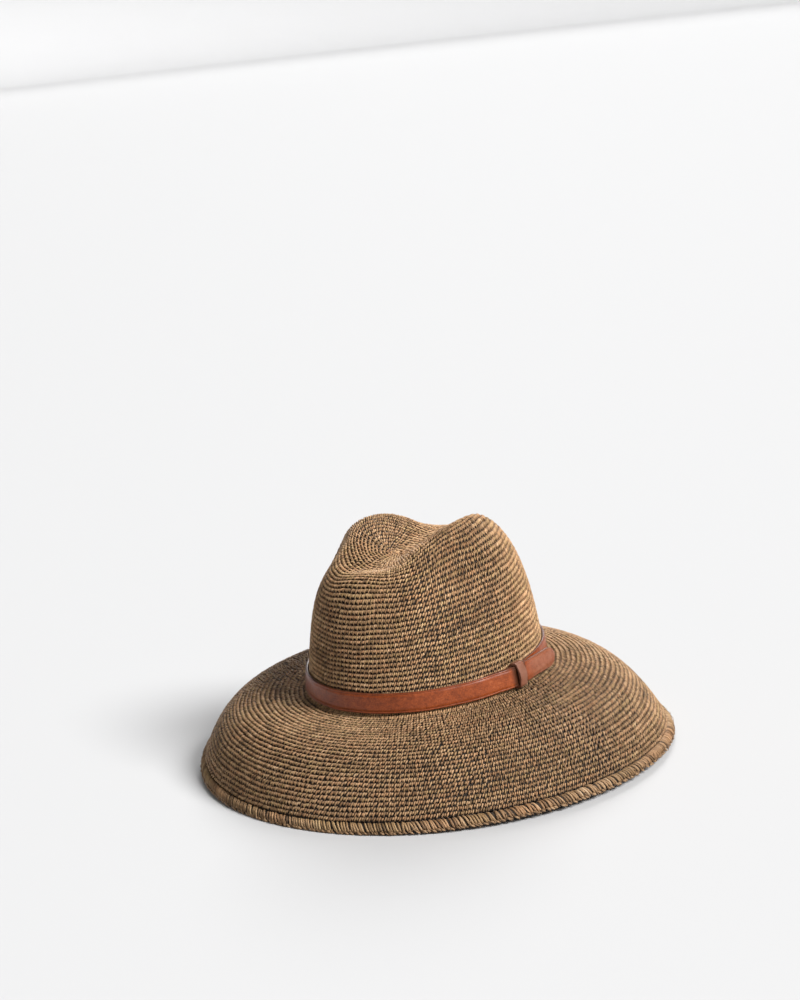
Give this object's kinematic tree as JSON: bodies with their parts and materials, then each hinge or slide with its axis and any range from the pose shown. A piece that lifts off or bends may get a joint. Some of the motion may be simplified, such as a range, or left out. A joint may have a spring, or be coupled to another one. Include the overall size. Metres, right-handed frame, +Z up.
{
  "type": "crocheted raffia sun hat with leather strap",
  "caption": "Wide-brimmed crocheted raffia hat with a centre-dented crown, down-turned brim with an overcast edge, and a leather strap held by a keeper; stands on its brim.",
  "frame": {"origin": "bottom centre of the bounding box, on the surface the hat stands on", "axes": "+Z up through the crown; the front of the hat looks along -Y; +X is the wearer's left, the keeper's side"},
  "size_m": [0.375, 0.3566, 0.1841],
  "materials": {
    "raffia": "crocheted tea-brown raffia, matt with a dry straw sheen",
    "raffia_edge": "overcast raffia strands laid close over the edge",
    "strap_leather": "smooth waxed cognac leather, low gloss, lightly mottled",
    "keeper_leather": "smooth cognac leather, darker and duller than the strap"
  },
  "bodies": {
    "root": {"crown": "raffia", "brim": "raffia", "brim_edge": "raffia_edge", "strap": "strap_leather", "keeper": "keeper_leather"}
  },
  "joints": []
}
